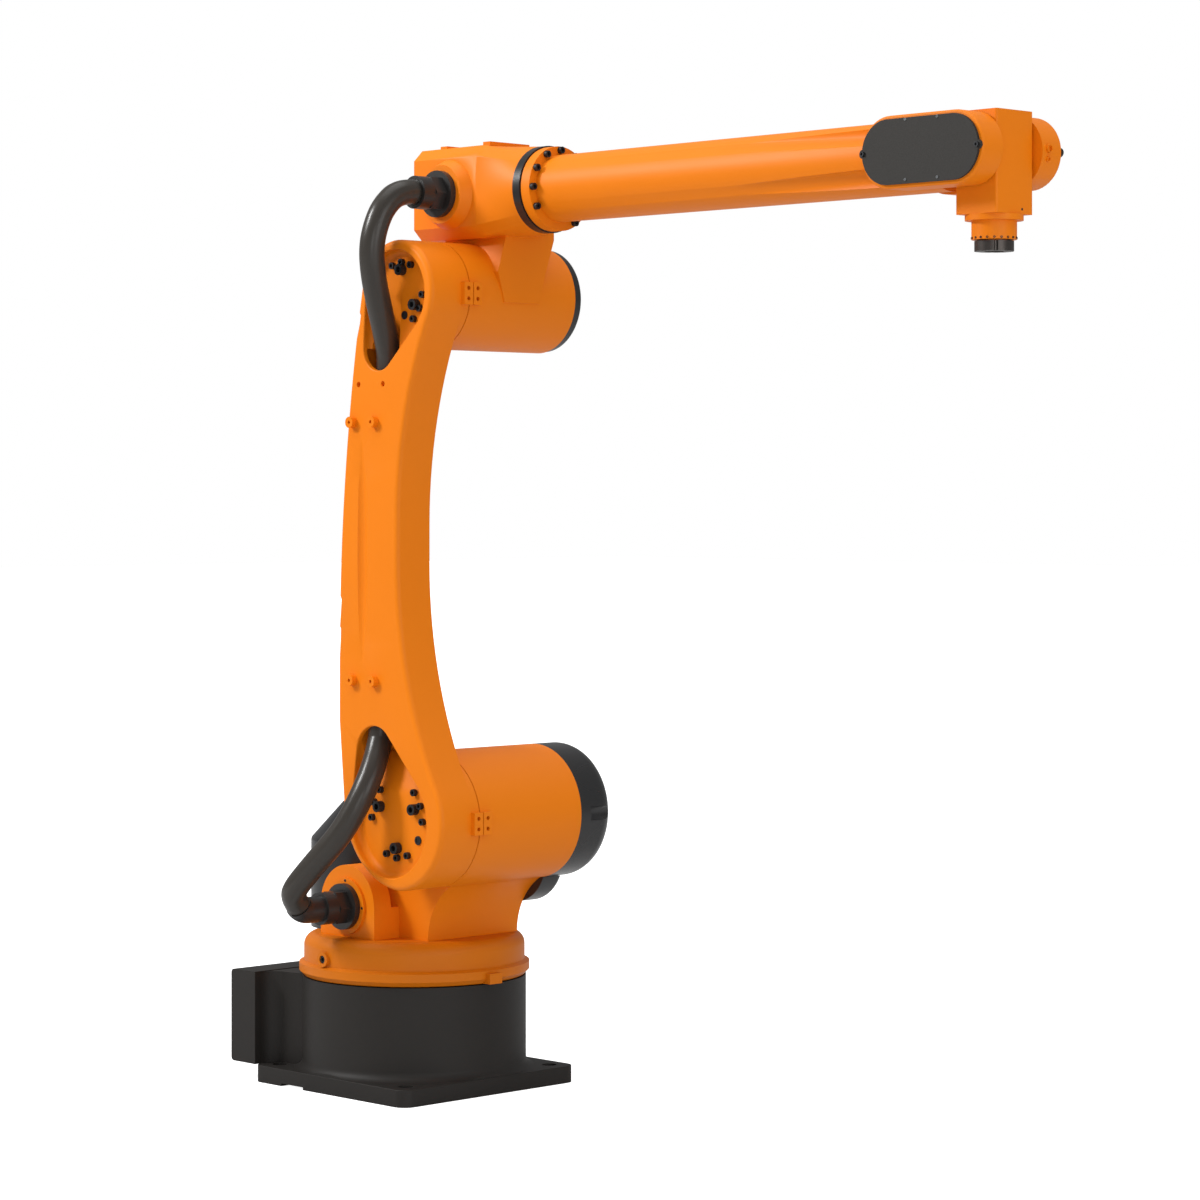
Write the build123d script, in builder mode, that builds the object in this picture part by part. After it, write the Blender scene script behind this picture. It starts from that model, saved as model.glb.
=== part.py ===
from build123d import *
import math
import os

# Six axis industrial robot arm, bolted to the floor, with the forearm level and the tool pointing down.
# Millimetres. The origin is on the floor at the first axis, X points along the forearm and Z points up.
os.makedirs("parts", exist_ok=True)

# Layout of the six axes
shoulder_x = 150.0
shoulder_rise = 181.0
arm_length = 749.0
roll_offset = 149.0
forearm_reach = 954.0

# Running gaps between bodies, and the bearing faces inside them
seam_gap = 1.5
bearing_gap = 0.4
turntable_bearing_radius = 130.0
shoulder_bearing_radius = 78.0
elbow_bearing_radius = 61.0
tool_bearing_radius = 17.5

# Base casting
plate_side = 340.0
plate_corner = 20.0
plate_top = 25.0
plate_edge_round = 1.2
plate_margin = 1.5
drum_root_round = 14.0
foot_relief = 4.0
foot_relief_inset = 45.0
side_notch_width = 50.0
side_notch_x = -78.0
floor_bolt_spacing = 282.0
floor_bolt_hole = 22.0
base_radius = 165.0
base_top = 160.0
neck_half_width = 66.0

# Junction box behind the base
box_width = 330.0
box_depth = 56.0
box_bottom = 24.0
box_top = 161.0
box_corner = 6.0
box_cover_thickness = 5.0
box_cover_margin = 12.0

# Turntable skirt
rim_radius = 170.0
rim_height = 18.5
rim_bevel = 7.0
skirt_radius = 163.0
skirt_top = 223.0
skirt_round = 18.0
turntable_lug_width = 24.0
turntable_lug_height = 15.0
turntable_lug_reach = 8.0
plug_boss_radius = 11.0
plug_boss_reach = 5.0
plug_boss_z = 194.0
plug_hole_radius = 6.0

# Column under the shoulder
neck_front_x = 111.0
neck_rear_x = -20.0
neck_near_y = -72.0
neck_lean = 11.0
shoulder_radius = 98.0
shoulder_seam_y = -94.0
shoulder_far_y = 104.0

# Hose boss on the column
gland_x = -12.0
gland_z = 268.0
gland_boss_y = -120.0
gland_boss_radius = 60.0
gland_boss_depth = 32.0
gland_pad_radius = 41.0
gland_pad_height = 4.0

# Motor covers of the first and second axes
turn_motor_x = -106.0
turn_motor_y = -5.0
turn_motor_radius = 81.0
turn_motor_height = 188.0
turn_motor_slope_height = 56.0
turn_motor_slope_width = 50.0
turn_motor_round = 10.0
shoulder_cap_depth = 70.0
shoulder_cap_round = 27.0
cap_scallop_radius = 12.0
cap_scallop_depth = 6.0
cap_scallop_length = 50.0
lobe_setback = 44.0
lobe_drop = 70.0
lobe_radius = 67.0
lobe_depth = 42.0
lobe_round = 12.0
lobe_gap = 0.5

# Hose glands, elbow and hose
gland_flange_radius = 33.5
gland_flange_thickness = 9.0
gland_hexagon_radius = 26.0
gland_hexagon_length = 20.0
gland_sleeve_radius = 23.5
gland_sleeve_length = 21.0
hose_radius = 18.0
hose_elbow_radius = 19.0
hose_elbow_reach = 31.5
hose_elbow_outlet = 12.0
hose_elbow_bend = 27.0
hose_heading = Vector(5, -16, 15).normalized()
hose_first_run = 22.5

# Link arm
arm_near_y = -168.0
arm_web_thickness = 62.0
arm_lower_radius = 98.0
arm_upper_radius = 77.0
arm_heel_x = 69.0
arm_heel_drop = 62.0
arm_rear_low_x = 33.0
arm_rear_low_rise = 25.0
arm_rear_x = 23.0
arm_rear_rise = 138.0
arm_rear_straight = 91.0
arm_waist_x = 153.0
arm_waist_rise = 366.0
arm_waist_straight = 56.0
arm_edge_round = 8.0
window_edge_round = 2.0

# Bosses, holes and groove on the near face of the link arm
arm_boss_radius = 8.0
arm_boss_height = 9.0
arm_boss_root = 12.0
arm_boss_spacing = 47.0
arm_boss_hole = 2.5
arm_boss_x = 82.0
arm_boss_low_rise = 198.0
arm_boss_high_drop = 181.0
arm_hole_x = 96.0
arm_hole_drop = 127.0
arm_hole_spacing = 53.0
arm_hole_radius = 4.0
arm_hole_depth = 5.0
groove_x = 78.0
groove_rise = 381.0
groove_half_length = 271.0
groove_radius = 14.0
groove_depth = 5.0

# Windows and hose channel in the link arm
window_depth = 16.0
window_floor_round = 10.0
pocket_depth = 48.0
pocket_inset = 4.0
upper_pocket_x = 124.0
upper_pocket_radius = 22.0
lower_ramp_foot = 41.0
lower_ramp_head = 101.0
upper_ramp_foot = 3.0
upper_ramp_head = 55.0
lower_window_x = 134.0
lower_window_radius = 81.0
lower_window_tip_x = 103.0
lower_window_tip_rise = 96.0
lower_window_tip_radius = 38.0
upper_window_x = 148.0
upper_window_radius = 63.0
upper_window_tip_x = 112.0
upper_window_tip_drop = 76.0
upper_window_tip_radius = 32.0
channel_x = 97.0
channel_width = 60.0
channel_skin = 7.0

# Zero mark blocks beside the seams
mark_height = 32.0
mark_width = 16.0
mark_reach = 7.0
mark_flat = 2.0
mark_hole = 3.0
mark_hole_spacing = 15.0

# Elbow casting
elbow_radius = 77.0
elbow_seam_y = -94.0
elbow_far_y = 112.0
elbow_cap_radius = 75.0
elbow_cap_depth = 16.0
elbow_cap_round = 5.0
yoke_rear_x = 100.0
yoke_front_x = 229.0
yoke_top_near_y = -28.0
yoke_top_far_y = 67.0
yoke_waist_near_y = -43.0
yoke_waist_far_y = 50.0
yoke_waist_rise = 34.0
yoke_foot_near_y = -30.0
yoke_foot_far_y = 38.0
yoke_foot_drop = 10.0
block_rear_x = 74.0
block_square_x = 205.0
block_front_x = 279.0
block_half_width = 66.0
block_half_height = 66.0
block_chamfer = 16.0
roll_radius = 62.0
upper_boss_radius = 42.0
upper_boss_root_radius = 50.0
upper_boss_y = -83.0
upper_boss_drop = 3.0
pad_length = 14.0
pad_height = 6.0
rear_pad_x = 102.0
rear_pad_width = 66.0
front_pad_x = 200.0
front_pad_width = 78.0
seal_width = 14.0
seal_inner_radius = 40.0

# Forearm
flange_radius = 60.0
flange_thickness = 17.0
tube_radius = 47.5
flute_length = 350.0
flute_radius = 17.0
flute_depth = 13.0
flute_angle = 36.0
fork_length = 108.0
fork_radius = 46.5
fork_inner_y = 39.0
fork_outer_y = 78.0
fork_throat = 69.0
fork_edge_round = 3.0
cover_radius = 41.5
cover_thickness = 4.0
cover_ear_radius = 6.0
cover_ear_out = 1.5

# Wrist and tool flange
wrist_half_width = 36.0
wrist_half_depth = 33.5
wrist_top = 49.0
wrist_bottom = 81.0
wrist_edge_round = 3.0
trunnion_radius = 30.0
collar_radius = 37.0
collar_height = 7.5
neck_collar_radius = 28.7
neck_collar_height = 24.0
tool_radius = 25.0
tool_thickness = 13.0
tool_bolt_circle = 40.0
tool_bolt_count = 4
tool_bolt_hole = 3.0
tool_pilot_radius = 12.5
tool_pilot_depth = 6.0
tool_notch_radius = 2.5

# Places worked out from the sizes above
shoulder_z = skirt_top + shoulder_rise
elbow_z = shoulder_z + arm_length
roll_z = elbow_z + roll_offset
wrist_x = shoulder_x + forearm_reach
upper_gland_z = roll_z - upper_boss_drop
gland_length = gland_flange_thickness + gland_hexagon_length + gland_sleeve_length
plate_half = plate_side / 2
rim_bottom = base_top + seam_gap
box_rear_x = -plate_half - box_depth
arm_seam_face = shoulder_seam_y - seam_gap
arm_web_back = arm_near_y + arm_web_thickness
arm_rear = (arm_rear_x, shoulder_z + arm_rear_rise)
arm_rear_top = (arm_rear_x, shoulder_z + arm_rear_rise + arm_rear_straight)
arm_waist = (arm_waist_x, shoulder_z + arm_waist_rise)
arm_waist_top = (arm_waist_x, shoulder_z + arm_waist_rise + arm_waist_straight)
lower_window_tip_z = shoulder_z + lower_window_tip_rise
upper_window_tip_z = elbow_z - upper_window_tip_drop
window_floor = arm_near_y + window_depth
pocket_floor = arm_near_y + pocket_depth
channel_near = arm_near_y + channel_skin
channel_mid_y = (channel_near + pocket_floor) / 2
flange_x = block_front_x + seal_width + seam_gap
tube_x = flange_x + flange_thickness
fork_rear_x = wrist_x - fork_length
fork_root_x = wrist_x - fork_throat
flute_end_x = fork_rear_x
flute_start_x = flute_end_x - flute_length
tool_top = roll_z - wrist_bottom - collar_height - neck_collar_height - seam_gap
tool_face = tool_top - tool_thickness


def across(y):
    """Plane at the given Y, drawn in X and Z, whose normal points along minus Y."""
    return Plane.XZ.offset(-y)


def along(x):
    """Plane at the given X, drawn in Y and Z, whose normal points along plus X."""
    return Plane.YZ.offset(x)


def level(z):
    """Plane at the given height, drawn in X and Y."""
    return Plane.XY.offset(z)


# Base casting: square foot plate, round drum and the neck to the junction box
with BuildPart() as base_casting:
    with BuildSketch(Plane.XZ):
        with BuildLine():
            Polyline(
                (base_radius + drum_root_round, plate_top),
                (0, plate_top),
                (0, base_top),
                (base_radius, base_top),
                (base_radius, plate_top + drum_root_round),
            )
            TangentArc(
                (base_radius, plate_top + drum_root_round),
                (base_radius + drum_root_round, plate_top),
                tangent=(0, -1),
            )
        make_face()
    revolve(axis=Axis.Z)
    with BuildSketch(level(plate_top)):
        RectangleRounded(plate_side - 2 * plate_margin, plate_side - 2 * plate_margin, plate_corner)
    extrude(amount=base_top - plate_top, mode=Mode.INTERSECT)
    with BuildSketch(level(0)):
        RectangleRounded(plate_side, plate_side, plate_corner)
    extrude(amount=plate_top)
    plate_face = base_casting.faces().filter_by(Plane.XY).group_by(Axis.Z)[1][0]
    fillet(plate_face.outer_wire().edges(), plate_edge_round)
    with BuildSketch(level(plate_top)):
        with Locations((-plate_half / 2, 0)):
            Rectangle(plate_half, 2 * neck_half_width)
    extrude(amount=base_top - plate_top - box_corner)
    with BuildSketch(level(0)):
        with Locations((side_notch_x, -plate_half + foot_relief_inset / 2)):
            Rectangle(side_notch_width, foot_relief_inset)
    extrude(amount=foot_relief, mode=Mode.SUBTRACT)
    with BuildSketch(level(0)):
        with GridLocations(floor_bolt_spacing, floor_bolt_spacing, 2, 2):
            Circle(floor_bolt_hole / 2)
    extrude(amount=plate_top, mode=Mode.SUBTRACT)
    bearing_top = rim_bottom - bearing_gap
    with BuildSketch(level(base_top)):
        Circle(turntable_bearing_radius)
    extrude(amount=bearing_top - base_top)
base_casting.part.label = "base_casting"
export_step(base_casting.part, "parts/base_casting.step")

# Junction box: closed box standing on the neck behind the base
with BuildPart() as junction_box:
    with BuildSketch(level(box_bottom)):
        with Locations((-plate_half - box_depth / 2, 0)):
            Rectangle(box_depth, box_width)
    extrude(amount=box_top - box_bottom)
    fillet(junction_box.edges().filter_by(Axis.Y).sort_by(Axis.X)[:2], box_corner)
junction_box.part.label = "junction_box"
export_step(junction_box.part, "parts/junction_box.step")

# Cover that closes the junction box at the rear
with BuildPart() as junction_box_cover:
    with BuildSketch(Plane.YZ.offset(box_rear_x)):
        with Locations((0, (box_top + box_bottom) / 2)):
            RectangleRounded(
                box_width - 2 * box_cover_margin,
                box_top - box_bottom - 2 * box_cover_margin,
                box_corner,
            )
    extrude(amount=-box_cover_thickness)
junction_box_cover.part.label = "junction_box_cover"
export_step(junction_box_cover.part, "parts/junction_box_cover.step")

# Turntable skirt: turned ring with a bevelled rim, a zero lug in front and a plug boss at the side
with BuildPart() as turntable_skirt:
    with BuildSketch(Plane.XZ):
        with BuildLine():
            Polyline(
                (0, rim_bottom),
                (skirt_radius, rim_bottom),
                (rim_radius, rim_bottom + rim_bevel),
                (rim_radius, rim_bottom + rim_height),
                (skirt_radius, rim_bottom + rim_height + rim_bevel / 2),
                (skirt_radius, skirt_top),
                (0, skirt_top),
                close=True,
            )
        make_face()
    revolve(axis=Axis.Z)
    fillet(turntable_skirt.edges().group_by(Axis.Z)[-1], skirt_round)
    with BuildSketch(level(rim_bottom)):
        with Locations((rim_radius + turntable_lug_reach - turntable_lug_width / 2, 0)):
            Rectangle(turntable_lug_width, turntable_lug_width)
    extrude(amount=turntable_lug_height)
    with BuildSketch(across(0)):
        with Locations((gland_x, plug_boss_z)):
            Circle(plug_boss_radius)
    extrude(amount=skirt_radius + plug_boss_reach)
    with BuildSketch(across(-skirt_radius)):
        with Locations((gland_x, plug_boss_z)):
            Circle(plug_hole_radius)
    extrude(amount=2 * plug_boss_reach, mode=Mode.SUBTRACT)
turntable_skirt.part.label = "turntable_skirt"
export_step(turntable_skirt.part, "parts/turntable_skirt.step")

# Column casting: curved neck, shoulder housing and the round topped hose boss
neck_width = shoulder_far_y - neck_near_y
neck_join_x = shoulder_x + neck_lean
neck_join_z = shoulder_z - math.sqrt(shoulder_radius**2 - neck_lean**2)
with BuildPart() as column_casting:
    with BuildSketch(across(shoulder_far_y)):
        with BuildLine():
            Line((neck_rear_x, skirt_top), (neck_front_x, skirt_top))
            neck_curve = TangentArc(
                (neck_front_x, skirt_top), (neck_join_x, neck_join_z), tangent=(0, 1)
            )
            Line(neck_curve @ 1, (shoulder_x, shoulder_z))
            Line((shoulder_x, shoulder_z), (shoulder_x - shoulder_radius, shoulder_z))
            Line((shoulder_x - shoulder_radius, shoulder_z), (neck_rear_x, skirt_top))
        make_face()
    extrude(amount=neck_width)
    with BuildSketch(across(shoulder_far_y)):
        with Locations((shoulder_x, shoulder_z)):
            Circle(shoulder_radius)
    extrude(amount=shoulder_far_y - shoulder_seam_y)
    with BuildSketch(across(shoulder_seam_y)):
        with Locations((shoulder_x, shoulder_z)):
            Circle(shoulder_bearing_radius)
    extrude(amount=seam_gap - bearing_gap)
    with BuildSketch(across(gland_boss_y)):
        with BuildLine():
            Polyline(
                (gland_x - gland_boss_radius, gland_z),
                (gland_x - gland_boss_radius, skirt_top),
                (gland_x + gland_boss_radius, skirt_top),
                (gland_x + gland_boss_radius, gland_z),
            )
            ThreePointArc(
                (gland_x + gland_boss_radius, gland_z),
                (gland_x, gland_z + gland_boss_radius),
                (gland_x - gland_boss_radius, gland_z),
            )
        make_face()
    extrude(amount=-gland_boss_depth)
    with BuildSketch(across(gland_boss_y)):
        with BuildLine():
            Polyline(
                (neck_rear_x, skirt_top),
                (gland_x + gland_boss_radius, skirt_top),
                (gland_x + gland_boss_radius, gland_z),
                (neck_rear_x, gland_z),
                close=True,
            )
        make_face()
    extrude(amount=gland_boss_y - neck_near_y)
    with BuildSketch(across(gland_boss_y)):
        with Locations((gland_x, gland_z)):
            Circle(gland_pad_radius)
    extrude(amount=gland_pad_height)
    with BuildSketch(along(shoulder_x + shoulder_radius - mark_flat)):
        with Locations((shoulder_seam_y + mark_width / 2, shoulder_z)):
            Rectangle(mark_width, mark_height)
    extrude(amount=mark_flat, mode=Mode.SUBTRACT)
column_casting.part.label = "column_casting"
export_step(column_casting.part, "parts/column_casting.step")

# Cover over the motor of the first axis, standing on the skirt behind the column
with BuildPart() as turn_motor_cover:
    with BuildSketch(level(skirt_top)):
        with Locations((turn_motor_x, turn_motor_y)):
            Circle(turn_motor_radius)
    extrude(amount=turn_motor_height)
    top_face = turn_motor_cover.faces().sort_by(Axis.Z)[-1]
    chamfer(top_face.edges(), turn_motor_slope_width, turn_motor_slope_height, reference=top_face)
    slope_edges = turn_motor_cover.edges().filter_by(GeomType.CIRCLE).group_by(Axis.Z)
    fillet(slope_edges[1] + slope_edges[2], turn_motor_round)
turn_motor_cover.part.label = "turn_motor_cover"
export_step(turn_motor_cover.part, "parts/turn_motor_cover.step")

# Motor cap of the second axis on the far end of the shoulder housing
with BuildPart() as shoulder_motor_cap:
    with BuildSketch(across(shoulder_far_y)):
        with Locations((shoulder_x, shoulder_z)):
            Circle(shoulder_radius)
    extrude(amount=-shoulder_cap_depth)
    fillet(shoulder_motor_cap.edges().group_by(Axis.Y)[-1], shoulder_cap_round)
    scallop_centre = shoulder_radius + cap_scallop_radius - cap_scallop_depth
    with BuildSketch(across(shoulder_far_y + shoulder_cap_depth)):
        with Locations((shoulder_x, shoulder_z)):
            with PolarLocations(scallop_centre, 2):
                Circle(cap_scallop_radius)
    extrude(amount=cap_scallop_length, mode=Mode.SUBTRACT)
shoulder_motor_cap.part.label = "shoulder_motor_cap"
export_step(shoulder_motor_cap.part, "parts/shoulder_motor_cap.step")

# Lower lobe of the motor cover, tucked under the round cap
with BuildPart() as shoulder_cable_cover:
    with BuildSketch(across(shoulder_far_y)):
        with Locations((shoulder_x - lobe_setback, shoulder_z - lobe_drop)):
            Circle(lobe_radius)
    extrude(amount=-lobe_depth)
    fillet(shoulder_cable_cover.edges().group_by(Axis.Y)[-1], lobe_round)
    with BuildSketch(across(shoulder_far_y)):
        with Locations((shoulder_x, shoulder_z)):
            Circle(shoulder_radius + lobe_gap)
    extrude(amount=-lobe_depth, mode=Mode.SUBTRACT)
shoulder_cable_cover.part.label = "shoulder_cable_cover"
export_step(shoulder_cable_cover.part, "parts/shoulder_cable_cover.step")


def gland(x, y, z):
    """Hose gland on a vertical face at Y: round flange, hexagon and sleeve, pointing along minus Y."""
    with BuildPart() as piece:
        with BuildSketch(across(y)):
            with Locations((x, z)):
                Circle(gland_flange_radius)
        extrude(amount=gland_flange_thickness)
        with BuildSketch(across(y - gland_flange_thickness)):
            with Locations((x, z)):
                RegularPolygon(gland_hexagon_radius, 6)
        extrude(amount=gland_hexagon_length)
        with BuildSketch(across(y - gland_flange_thickness - gland_hexagon_length)):
            with Locations((x, z)):
                Circle(gland_sleeve_radius)
        extrude(amount=gland_sleeve_length)
    return piece


# Lower gland on the hose boss of the column
lower_gland_y = gland_boss_y - gland_pad_height
lower_gland = gland(gland_x, lower_gland_y, gland_z)
lower_gland.part.label = "lower_gland"
export_step(lower_gland.part, "parts/lower_gland.step")

# Elbow fitting that turns the lower hose upwards
elbow_start_y = lower_gland_y - gland_length
elbow_corner = Vector(gland_x, elbow_start_y - hose_elbow_reach, gland_z)
hose_start = elbow_corner + hose_heading * hose_elbow_outlet
with BuildPart() as hose_elbow:
    with BuildLine() as elbow_path:
        FilletPolyline(
            (gland_x, elbow_start_y, gland_z),
            elbow_corner,
            hose_start,
            radius=hose_elbow_bend,
        )
    with BuildSketch(across(elbow_start_y)):
        with Locations((gland_x, gland_z)):
            Circle(hose_elbow_radius)
    sweep(path=elbow_path.line)
hose_elbow.part.label = "hose_elbow"
export_step(hose_elbow.part, "parts/hose_elbow.step")


def touch_point(start, hub_z, hub_radius):
    """Point where an arc that leaves start along Z runs smoothly into the rim of a hub."""
    offset = start[0] - shoulder_x
    rise = hub_z - start[1]
    side = math.copysign(1, offset)
    radius = (offset**2 + rise**2 - hub_radius**2) / (2 * (side * hub_radius - offset))
    away = Vector(offset + radius, -rise).normalized()
    return (shoulder_x + side * hub_radius * away.X, hub_z + side * hub_radius * away.Y)


def dish(hub, hub_radius, tip, tip_radius):
    """Shallow hollow of a window, widest at the hub, with a rounded floor edge."""
    with BuildPart() as hollow:
        with BuildSketch(across(arm_near_y)):
            with Locations(hub):
                Circle(hub_radius)
            with Locations(tip):
                Circle(tip_radius)
            make_hull()
        extrude(amount=-window_depth)
        fillet(hollow.faces().sort_by(Axis.Y)[-1].edges(), window_floor_round)
    return hollow


def pocket(root, root_radius, tip, tip_radius, foot_z, head_z):
    """Deeper hollow inside a window, whose floor ramps down to the hose channel at the tip."""
    tip_end = tip[1] + math.copysign(2 * tip_radius, tip[1] - foot_z)
    with BuildPart() as hollow:
        with BuildSketch(across(arm_near_y)):
            with Locations(root):
                Circle(root_radius)
            with Locations(tip):
                Circle(tip_radius)
            make_hull()
        extrude(amount=-pocket_depth)
        with BuildSketch(Plane.YZ):
            with BuildLine():
                Polyline(
                    (arm_near_y, foot_z),
                    (arm_near_y, tip_end),
                    (pocket_floor, tip_end),
                    (pocket_floor, head_z),
                    (window_floor, foot_z),
                    close=True,
                )
            make_face()
        extrude(amount=root[0] + 2 * root_radius, mode=Mode.INTERSECT)
    return hollow


lower_hub = (lower_window_x, shoulder_z)
lower_tip = (lower_window_tip_x, lower_window_tip_z)
lower_dish = dish(lower_hub, lower_window_radius, lower_tip, lower_window_tip_radius)
lower_pocket = pocket(
    lower_hub, lower_window_radius - pocket_inset, lower_tip, lower_window_tip_radius - pocket_inset,
    shoulder_z + lower_ramp_foot, shoulder_z + lower_ramp_head,
)
upper_hub = (upper_window_x, elbow_z)
upper_tip = (upper_window_tip_x, upper_window_tip_z)
upper_dish = dish(upper_hub, upper_window_radius, upper_tip, upper_window_tip_radius)
upper_pocket = pocket(
    (upper_pocket_x, elbow_z), upper_pocket_radius, upper_tip, upper_window_tip_radius - pocket_inset,
    elbow_z - upper_ramp_foot, elbow_z - upper_ramp_head,
)

# Link arm: curved hollow casting between shoulder and elbow, with a window at each end
lower_touch = touch_point(arm_waist, shoulder_z, arm_lower_radius)
upper_touch = touch_point(arm_waist_top, elbow_z, arm_upper_radius)
rear_touch = touch_point(arm_rear_top, elbow_z, arm_upper_radius)
with BuildPart() as link_arm_casting:
    with BuildSketch(across(arm_near_y)):
        with BuildLine():
            heel = ThreePointArc(
                (shoulder_x, shoulder_z - arm_lower_radius),
                (arm_heel_x, shoulder_z - arm_heel_drop),
                (arm_rear_low_x, shoulder_z + arm_rear_low_rise),
            )
            Polyline(heel @ 1, arm_rear, arm_rear_top)
            TangentArc(arm_rear_top, rear_touch, tangent=(0, 1))
            ThreePointArc(rear_touch, (shoulder_x, elbow_z + arm_upper_radius), upper_touch)
            TangentArc(arm_waist_top, upper_touch, tangent=(0, 1))
            Line(arm_waist_top, arm_waist)
            TangentArc(arm_waist, lower_touch, tangent=(0, -1))
            ThreePointArc(lower_touch, (shoulder_x + arm_lower_radius, shoulder_z), heel @ 0)
        make_face()
    extrude(amount=-arm_web_thickness)
    fillet(link_arm_casting.faces().sort_by(Axis.Y)[0].edges(), arm_edge_round)
    with BuildSketch(across(arm_web_back)):
        with Locations((shoulder_x, shoulder_z)):
            Circle(arm_lower_radius)
        with Locations((shoulder_x, elbow_z)):
            Circle(arm_upper_radius)
    extrude(amount=-(arm_seam_face - arm_web_back))
    for hollow in (lower_dish, lower_pocket, upper_dish, upper_pocket):
        add(hollow.part, mode=Mode.SUBTRACT)
    near_face = link_arm_casting.faces().sort_by(Axis.Y)[0]
    for window in near_face.inner_wires():
        fillet(window.edges(), window_edge_round)
    with BuildSketch(level(lower_window_tip_z)):
        with Locations((channel_x, channel_mid_y)):
            Rectangle(channel_width, pocket_floor - channel_near)
    extrude(amount=upper_window_tip_z - lower_window_tip_z, mode=Mode.SUBTRACT)
    for boss_z in (shoulder_z + arm_boss_low_rise, elbow_z - arm_boss_high_drop):
        with BuildSketch(across(arm_near_y - arm_boss_height)):
            with Locations((arm_boss_x, boss_z)):
                with GridLocations(arm_boss_spacing, 0, 2, 1):
                    Circle(arm_boss_radius)
        extrude(amount=-arm_boss_root)
        with BuildSketch(across(arm_near_y - arm_boss_height)):
            with Locations((arm_boss_x, boss_z)):
                with GridLocations(arm_boss_spacing, 0, 2, 1):
                    Circle(arm_boss_hole)
        extrude(amount=-arm_boss_height, mode=Mode.SUBTRACT)
    with BuildSketch(across(arm_near_y)):
        with Locations((arm_hole_x, elbow_z - arm_hole_drop)):
            with GridLocations(arm_hole_spacing, 0, 2, 1):
                Circle(arm_hole_radius)
    extrude(amount=-arm_hole_depth, mode=Mode.SUBTRACT)
    groove_axis = Axis((groove_x, arm_near_y - groove_radius + groove_depth, shoulder_z + groove_rise), (0, 0, 1))
    with BuildSketch(Plane(origin=groove_axis.position, x_dir=(1, 0, 0), z_dir=(0, -1, 0))):
        with BuildLine():
            ThreePointArc((0, -groove_half_length), (groove_radius, 0), (0, groove_half_length))
            Line((0, groove_half_length), (0, -groove_half_length))
        make_face()
    revolve(axis=groove_axis, mode=Mode.SUBTRACT)
    for axis_z, radius in ((shoulder_z, arm_lower_radius), (elbow_z, arm_upper_radius)):
        with BuildSketch(along(shoulder_x + radius - mark_flat)):
            with Locations((arm_seam_face - mark_width / 2, axis_z)):
                Rectangle(mark_width, mark_height)
        extrude(amount=mark_flat, mode=Mode.SUBTRACT)
link_arm_casting.part.label = "link_arm_casting"
export_step(link_arm_casting.part, "parts/link_arm_casting.step")


def zero_mark(axis_z, radius, seam_y, side):
    """Small block on the front of a round housing, on one side of a seam, with two pin holes."""
    face_x = shoulder_x + radius - mark_flat
    middle_y = seam_y + side * mark_width / 2
    with BuildPart() as piece:
        with BuildSketch(along(face_x)):
            with Locations((middle_y, axis_z)):
                Rectangle(mark_width, mark_height)
        extrude(amount=mark_reach + mark_flat)
        with BuildSketch(along(face_x + mark_reach + mark_flat)):
            with Locations((middle_y, axis_z)):
                with GridLocations(0, mark_hole_spacing, 1, 2):
                    Circle(mark_hole)
        extrude(amount=-mark_reach, mode=Mode.SUBTRACT)
    return piece


shoulder_mark_column = zero_mark(shoulder_z, shoulder_radius, shoulder_seam_y, 1)
shoulder_mark_column.part.label = "shoulder_mark_column"
export_step(shoulder_mark_column.part, "parts/shoulder_mark_column.step")

shoulder_mark_arm = zero_mark(shoulder_z, arm_lower_radius, arm_seam_face, -1)
shoulder_mark_arm.part.label = "shoulder_mark_arm"
export_step(shoulder_mark_arm.part, "parts/shoulder_mark_arm.step")

elbow_mark_arm = zero_mark(elbow_z, arm_upper_radius, arm_seam_face, -1)
elbow_mark_arm.part.label = "elbow_mark_arm"
export_step(elbow_mark_arm.part, "parts/elbow_mark_arm.step")

elbow_mark_housing = zero_mark(elbow_z, elbow_radius, elbow_seam_y, 1)
elbow_mark_housing.part.label = "elbow_mark_housing"
export_step(elbow_mark_housing.part, "parts/elbow_mark_housing.step")

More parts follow.
